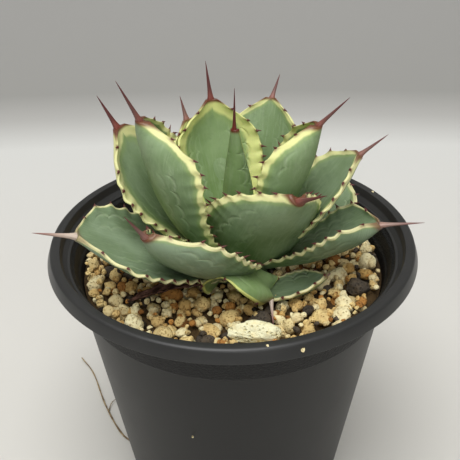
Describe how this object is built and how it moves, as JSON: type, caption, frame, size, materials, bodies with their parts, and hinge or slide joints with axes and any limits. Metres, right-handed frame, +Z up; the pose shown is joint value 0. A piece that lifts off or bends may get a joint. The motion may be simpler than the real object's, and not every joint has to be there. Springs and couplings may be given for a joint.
{
  "type": "potted agave",
  "caption": "Young agave rosette with broad pale-margined, spine-tipped leaves, in a round tapered nursery pot filled with gritty potting mix.",
  "frame": {"origin": "middle of the pot's flat base, on the surface it stands on", "axes": "+Z up along the pot's axis, +X to the right and +Y to the back, seen from the front"},
  "size_m": [0.1336, 0.123, 0.1637],
  "materials": {
    "pot_plastic": "smooth black, with a finely grained collar",
    "grit": "coarse mixed grains of pumice, baked clay and lava",
    "leaf_tissue": "waxy grey-green with cream margins",
    "dry_leaf": "shrivelled, dark brown",
    "pumice": "rough, cream",
    "lava": "rough, charcoal grey",
    "root": "thin, dry, tan"
  },
  "bodies": {
    "root": {"pot": "pot_plastic", "potting_mix": "grit", "stem": "leaf_tissue", "centre_bud": "leaf_tissue", "leaf_back_centre": "leaf_tissue", "leaf_right_inner": "leaf_tissue", "leaf_back_right": "leaf_tissue", "leaf_left_inner": "leaf_tissue", "leaf_back_left": "leaf_tissue", "leaf_front": "leaf_tissue", "leaf_right_outer": "leaf_tissue", "leaf_left_outer": "leaf_tissue", "leaf_low_back": "leaf_tissue", "leaf_low_back_right": "leaf_tissue", "leaf_small_front": "leaf_tissue", "leaf_front_left": "leaf_tissue", "leaf_right_low": "leaf_tissue", "leaf_left_low": "leaf_tissue", "leaf_low_back_left": "leaf_tissue", "leaf_small_right": "leaf_tissue", "withered_leaf": "dry_leaf", "pumice_stone": "pumice", "lava_stone_right": "lava", "lava_stone_front": "lava", "dry_root": "root"}
  },
  "joints": []
}
